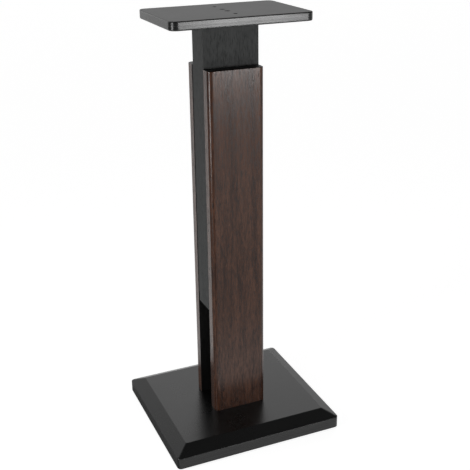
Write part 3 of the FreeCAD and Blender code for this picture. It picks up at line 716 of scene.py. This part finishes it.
def foot_pad(part):
    """A rubber pad: tapered, with rounded rims, a ring pressed into the tread and a recess for the screw."""
    look = bpy.context.scene.stand_fittings
    low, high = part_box(part)
    radius, height = (high.x - low.x) / 2, high.z - low.z
    pad = start(
        bpy.ops.mesh.primitive_cylinder_add, vertices=56, radius=radius, depth=height, end_fill_type="NGON",
        location=(low + high) / 2,
    )
    tread = 1 - look.foot_taper / radius
    outer_land, inner_land, recess_draft = 0.0034, 0.0036, 0.0002
    groove_wall = look.groove * 0.3
    edit(pad)
    pick(pad, "FACE", faces_down)
    bpy.ops.transform.resize(value=(tread, tread, 1), center_override=pad.location)
    bpy.ops.mesh.inset(thickness=outer_land)
    bpy.ops.mesh.inset(thickness=groove_wall, depth=-look.groove)
    bpy.ops.mesh.inset(thickness=look.groove, depth=0)
    bpy.ops.mesh.inset(thickness=groove_wall, depth=look.groove)
    bpy.ops.mesh.inset(thickness=inner_land, depth=0)
    bpy.ops.mesh.inset(thickness=recess_draft, depth=-FOOT_RECESS)
    leave()
    shape(
        pad, "rims", "BEVEL", width=look.foot_edge, segments=3, limit_method="ANGLE",
        angle_limit=math.radians(40),
    )
    smooth(pad, 40)
    settle(pad)
    pad.name = "pad_" + part
    return pad


def pan_screw(place, recess):
    """A pan-head screw seen from below: a domed head with a cross recess, and its shank."""
    look = bpy.context.scene.stand_fittings
    height, dome, taper = SCREW_HEAD_HEIGHT, 0.0011, 0.55
    head = start(
        bpy.ops.mesh.primitive_cylinder_add, vertices=40, radius=SCREW_HEAD_RADIUS, depth=height,
        end_fill_type="NGON", location=(place.x, place.y, recess - height / 2),
    )
    edit(head)
    pick(head, "EDGE", lambda e: level(e) < -height / 2 + HAIR)
    bpy.ops.mesh.bevel(offset=dome, segments=4, affect="EDGES")
    leave()
    for reach in ((look.cross_reach, CROSS_HALF_WIDTH), (CROSS_HALF_WIDTH, look.cross_reach)):
        cutter = start(bpy.ops.mesh.primitive_cube_add, size=1, location=(place.x, place.y, recess - height))
        cutter.scale = (reach[0] * 2, reach[1] * 2, height * 1.3)
        settle(cutter)
        edit(cutter)
        pick(cutter, "FACE", faces_up)
        bpy.ops.transform.resize(value=(taper, taper, 1), center_override=(place.x, place.y, recess))
        leave()
        shape(head, "recess", "BOOLEAN", operation="DIFFERENCE", object=cutter, solver="EXACT")
        bpy.data.objects.remove(cutter)
    shank_sink, tip_rim, tip_rise = 0.0004, 0.0017, 0.0002
    shank = start(
        bpy.ops.mesh.primitive_cylinder_add, vertices=24, radius=SCREW_SHANK_RADIUS, depth=SCREW_SHANK_LENGTH,
        end_fill_type="NGON", location=(place.x, place.y, recess + SCREW_SHANK_LENGTH / 2 - shank_sink),
    )
    edit(shank)
    pick(shank, "FACE", faces_up)
    bpy.ops.mesh.inset(thickness=tip_rim, depth=0)
    bpy.ops.transform.translate(value=(0, 0, tip_rise))
    leave()
    settle(head)
    settle(shank)
    screw = join("screw", head, shank)
    smooth(screw, 40)
    return screw


# ---------------------------------------------------------------- operators


class FinishBase(bpy.types.Operator):
    """Lacquers the base board"""

    bl_idname = "stand.base"
    bl_label = "Base Board"

    def execute(self, context):
        paint(base_lacquer(), "base_board")
        return {"FINISHED"}


class FinishPanels(bpy.types.Operator):
    """Veneers the front and rear panels"""

    bl_idname = "stand.panels"
    bl_label = "Panels"

    def execute(self, context):
        paint(walnut_veneer(), "front_panel", "rear_panel")
        return {"FINISHED"}


class FinishColumn(bpy.types.Operator):
    """Stains the column's boards and finishes the block inside it and the guides behind it"""

    bl_idname = "stand.column"
    bl_label = "Column"

    def execute(self, context):
        boards = [f"column_{side}_board" for side in ("front", "rear", "left", "right")]
        paint(black_ash(), *boards)
        block = bare_wood("inner board", (0.30, 0.19, 0.10), (0.20, 0.12, 0.06), (260, 260, 260))
        paint(block, "column_head_block")
        strip = moulded("guide strip", (0.012, 0.012, 0.012), 0.6, grain=300)
        paint(strip, "rear_guide_left", "rear_guide_right")
        return {"FINISHED"}


class FinishPlate(bpy.types.Operator):
    """Lacquers the top plate and finishes its screws and inserts"""

    bl_idname = "stand.plate"
    bl_label = "Top Plate"

    def execute(self, context):
        paint(plate_lacquer(), "top_plate")
        steel = moulded(
            "black steel", (0.004, 0.004, 0.0042), 0.62, grain=400, depth=0.00001, Specular_IOR_Level=0.25
        )
        paint(steel, "plate_screws")
        paint(metal("brass", (0.62, 0.43, 0.17), 0.34), "head_inserts", "panel_inserts")
        return {"FINISHED"}


class FinishFixings(bpy.types.Operator):
    """Finishes the panel bolts, washers and dowels, the clamp bar, nuts, bushes and washers"""

    bl_idname = "stand.fixings"
    bl_label = "Fixings"

    def execute(self, context):
        zinc = metal("zinc steel", (0.52, 0.53, 0.54), 0.36, grain=(500, 500, 500))
        paint(zinc, "panel_bolts", "panel_bolt_washers", "clamp_bar", "clamp_nuts", "clamp_bushes")
        paint(zinc, *[f"{which}_clamp_washer" for which in CLAMPS])
        paint(bare_wood("beech", (0.50, 0.31, 0.17), (0.36, 0.20, 0.10), (700, 700, 25)), "panel_dowels")
        return {"FINISHED"}


class MakeKnobs(bpy.types.Operator):
    """Models the lobed knob with its collar and cap, and copies it for the lower clamp"""

    bl_idname = "stand.knobs"
    bl_label = "Clamp Knobs"

    def execute(self, context):
        plastic = moulded("knob plastic", (0.010, 0.010, 0.0105), 0.38, grain=900, depth=0.00003)
        cap_plastic = moulded("cap plastic", (0.012, 0.012, 0.0125), 0.24, grain=300, depth=0.00001)
        part = "upper_clamp_knob"
        seat = middle_of(part)
        low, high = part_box(part)
        head = knob_head(part, seat)
        boss = knob_boss(seat, low.y, high.y - KNOB_HEAD_HEIGHT + COLLAR_SINK)
        knobs = [join("upper_knob_body", head, boss)]
        caps = [knob_cap(seat, high.y)]
        caps[0].name = "upper_knob_cap"
        drop = middle_of("lower_clamp_knob") - seat
        knobs.append(again(knobs[0], "lower_knob_body", drop))
        caps.append(again(caps[0], "lower_knob_cap", drop))
        for which, knob, cap in zip(CLAMPS, knobs, caps):
            fit(knob, f"{which}_knob", "knob_plastic", plastic, f"{which}_clamp_knob")
            fit(cap, f"{which}_knob", "knob_plastic", cap_plastic, f"{which}_clamp_knob")
        return {"FINISHED"}


class MakeClampBolts(bpy.types.Operator):
    """Models the threaded clamp bolt and copies it for the lower clamp"""

    bl_idname = "stand.clamp_bolts"
    bl_label = "Clamp Bolts"

    def execute(self, context):
        steel = metal("bolt steel", (0.50, 0.51, 0.52), 0.3)
        part = "upper_clamp_bolt"
        low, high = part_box(part)
        seat, radius = middle_of(part), size_of(part).x / 2
        core = bolt_core(radius, low.y, high.y, seat)
        bolts = [join("upper_threaded_bolt", core, bolt_thread(radius, low.y, high.y, seat))]
        smooth(bolts[0], 40)
        bolts.append(again(bolts[0], "lower_threaded_bolt", middle_of("lower_clamp_bolt") - seat))
        for which, bolt in zip(CLAMPS, bolts):
            fit(bolt, f"{which}_knob", "zinc_steel", steel, f"{which}_clamp_bolt")
        return {"FINISHED"}


class MakeFeet(bpy.types.Operator):
    """Models a rubber foot and copies it to the four corners"""

    bl_idname = "stand.feet"
    bl_label = "Feet"

    def execute(self, context):
        rubber = moulded("rubber", (0.014, 0.014, 0.014), 0.72, grain=500, depth=0.00008)
        place = middle_of(FEET[0])
        first = foot_pad(FEET[0])
        pads = [first] + [again(first, f"pad_{part}", middle_of(part) - place) for part in FEET[1:]]
        for part, pad in zip(FEET, pads):
            fit(pad, "stand", "rubber_black", rubber, part)
        return {"FINISHED"}


class MakeFootScrews(bpy.types.Operator):
    """Models a pan-head screw and copies it into the four feet"""

    bl_idname = "stand.foot_screws"
    bl_label = "Foot Screws"

    def execute(self, context):
        place = middle_of(FEET[0])
        first = pan_screw(place, FOOT_RECESS)
        screws = [first] + [again(first, f"screw_{part}", middle_of(part) - place) for part in FEET[1:]]
        steel = metal("screw steel", (0.5, 0.5, 0.5), 0.32)
        fit(join("pan_screws", *screws), "stand", "zinc_steel", steel, "foot_screws")
        return {"FINISHED"}


class SetStudio(bpy.types.Operator):
    """Sets the pale floor, the soft light and the camera"""

    bl_idname = "stand.studio"
    bl_label = "Studio"

    def execute(self, context):
        studio = context.scene.stand_studio
        floor = start(bpy.ops.mesh.primitive_plane_add, size=studio.floor_size, location=(0, 0, 0))
        floor.name = "floor"
        paint(pale_floor(), floor)
        set_sky(context.scene)
        soft_light(
            "left light", studio.left_light, place=(-1.30, -0.50, 0.66), target=(-0.05, -0.05, 0.60),
            width=0.30, height=0.90,
        )
        soft_light(
            "front light", studio.front_light, place=(0.86, -2.12, 0.72), target=(0, -0.06, 0.80),
            width=0.60, height=0.50,
        )
        set_camera(context.scene, studio)
        context.scene.view_settings.view_transform = "Standard"
        return {"FINISHED"}


def pale_floor():
    """Nearly white to the camera. Reflections see it instead with painted patches of light and a painted
    shadow round the base.
    """
    studio = bpy.context.scene.stand_studio
    material, f = finish_of("pale floor")
    across, deep = (f.along(f.place(), axis) for axis in "XY")
    forward = 0 - deep
    half = size_of("base_board") / 2
    # painted shadow: dark under the base's left half and a little beyond
    shade = f.rise(across, -half.x - 0.13, -half.x - 0.03) * f.rise(across, 0.0, -0.05)
    shade = shade * f.rise(f.unsigned(deep), half.y * 1.7, half.y)
    # painted light: lit on the right, and further to the left the further back; dimmer far in front
    slant, dimming = 0.52, 0.62
    lit = f.rise(across + f.sum("MAXIMUM", deep, 0) * slant, -0.30, 0.0) * (1 - shade)
    lit = lit * (1 - f.rise(forward, 0.25, 0.60) * dimming)
    # a painted strip of light right in front of the base
    strip = f.rise(forward, half.y, half.y + 0.01) * f.rise(forward, 0.34, 0.24)
    strip = strip * f.rise(f.unsigned(across), 0.5, 0.3)
    strip_glow, seen_glow = 0.62, 0.88
    glow = f.blend(lit, (0, 0, 0), [studio.floor_glow] * 3)
    glow = f.blend(strip, glow, [strip_glow] * 3)
    glow = f.blend(f.node("ShaderNodeLightPath", out="Is Camera Ray"), glow, [seen_glow] * 3)
    f.surface((0.35, 0.35, 0.35), 0.9, Emission_Color=glow, Emission_Strength=1.0)
    return material


def set_sky(scene):
    """White to the camera. Reflections see a backdrop that is bright over the horizon, more so on the right,
    and a patch low at the rear left."""
    world = bpy.data.worlds.new("studio")
    scene.world = world
    world.use_nodes = True
    f = Finish(world.node_tree)
    way = f.node("ShaderNodeTexCoord", out="Generated")
    across, deep, up = (f.along(way, axis) for axis in "XYZ")
    back = f.rise(deep, 0.10, 0.70)
    side = f.rise(across, -0.05, -0.30) * f.rise(across, -0.75, -0.50)
    right = f.rise(across, -0.50, 0.15)
    under_zenith = 1 - f.rise(up, 0.58, 0.90)
    high = f.rise(up, 0.06, 0.40)
    everywhere, patch = 0.10, 1.3
    backdrop = back * under_zenith * (0.45 + 0.5 * right) * (0.03 + 1.18 * high)
    glow = everywhere + backdrop + back * side * (1 - high) * patch
    seen = f.node("ShaderNodeLightPath", out="Is Camera Ray")
    strength = glow * (1 - seen) + seen
    sky = f.node("ShaderNodeBackground", {}, {"Color": (1, 1, 1, 1), "Strength": strength})
    f.node("ShaderNodeOutputWorld", {}, {"Surface": sky})


def set_camera(scene, studio):
    """The camera that took the photograph, as solved from the stand's edges."""
    eye = bpy.data.cameras.new("eye")
    eye.sensor_width = 36
    eye.lens = studio.lens
    eye.shift_y = -AXIS_OVER_MIDDLE / PHOTO_SIDE
    eye.clip_start, eye.clip_end = 0.05, 100
    camera = bpy.data.objects.new("eye", eye)
    scene.collection.objects.link(camera)
    turn = (
        Matrix.Rotation(-studio.heading, 4, "Z")
        @ Matrix.Rotation(math.pi / 2 - studio.pitch, 4, "X")
        @ Matrix.Rotation(studio.roll, 4, "Z")
    )
    camera.matrix_world = Matrix.Translation(Vector(studio.eye)) @ turn
    scene.camera = camera


def soft_light(name, power, place, target, width, height):
    """A rectangular soft light that faces a point."""
    data = bpy.data.lights.new(name, "AREA")
    data.shape = "RECTANGLE"
    data.size, data.size_y = width, height
    data.energy = power
    light = bpy.data.objects.new(name, data)
    bpy.context.scene.collection.objects.link(light)
    light.location = place
    light.rotation_euler = (Vector(target) - Vector(place)).to_track_quat("-Z", "Y").to_euler()


class StandPanel(bpy.types.Panel):
    """Lists the stand's sizes and colours and the steps that dress it"""

    bl_idname = "VIEW3D_PT_speaker_stand"
    bl_label = "Speaker Stand"
    bl_space_type = "VIEW_3D"
    bl_region_type = "UI"
    bl_category = "Speaker Stand"

    def draw(self, context):
        for operator in OPERATORS:
            self.layout.operator(operator.bl_idname)
        for name, group in GROUPS.items():
            box = self.layout.box()
            for prop in group.__annotations__:
                box.prop(getattr(context.scene, name), prop)


OPERATORS = [
    FinishBase, FinishPanels, FinishColumn, FinishPlate, FinishFixings,
    MakeKnobs, MakeClampBolts, MakeFeet, MakeFootScrews, SetStudio,
]


def register():
    for group in (*GROUPS.values(), *OPERATORS, StandPanel):
        bpy.utils.register_class(group)
    for name, group in GROUPS.items():
        setattr(bpy.types.Scene, name, PointerProperty(type=group))


def unregister():
    for name in GROUPS:
        delattr(bpy.types.Scene, name)
    for group in reversed((*GROUPS.values(), *OPERATORS, StandPanel)):
        bpy.utils.unregister_class(group)


def main():
    """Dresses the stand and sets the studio."""
    register()
    bpy.ops.stand.base()
    bpy.ops.stand.panels()
    bpy.ops.stand.column()
    bpy.ops.stand.plate()
    bpy.ops.stand.fixings()
    bpy.ops.stand.knobs()
    bpy.ops.stand.clamp_bolts()
    bpy.ops.stand.feet()
    bpy.ops.stand.foot_screws()
    bpy.ops.stand.studio()


if __name__ == "__main__":
    main()
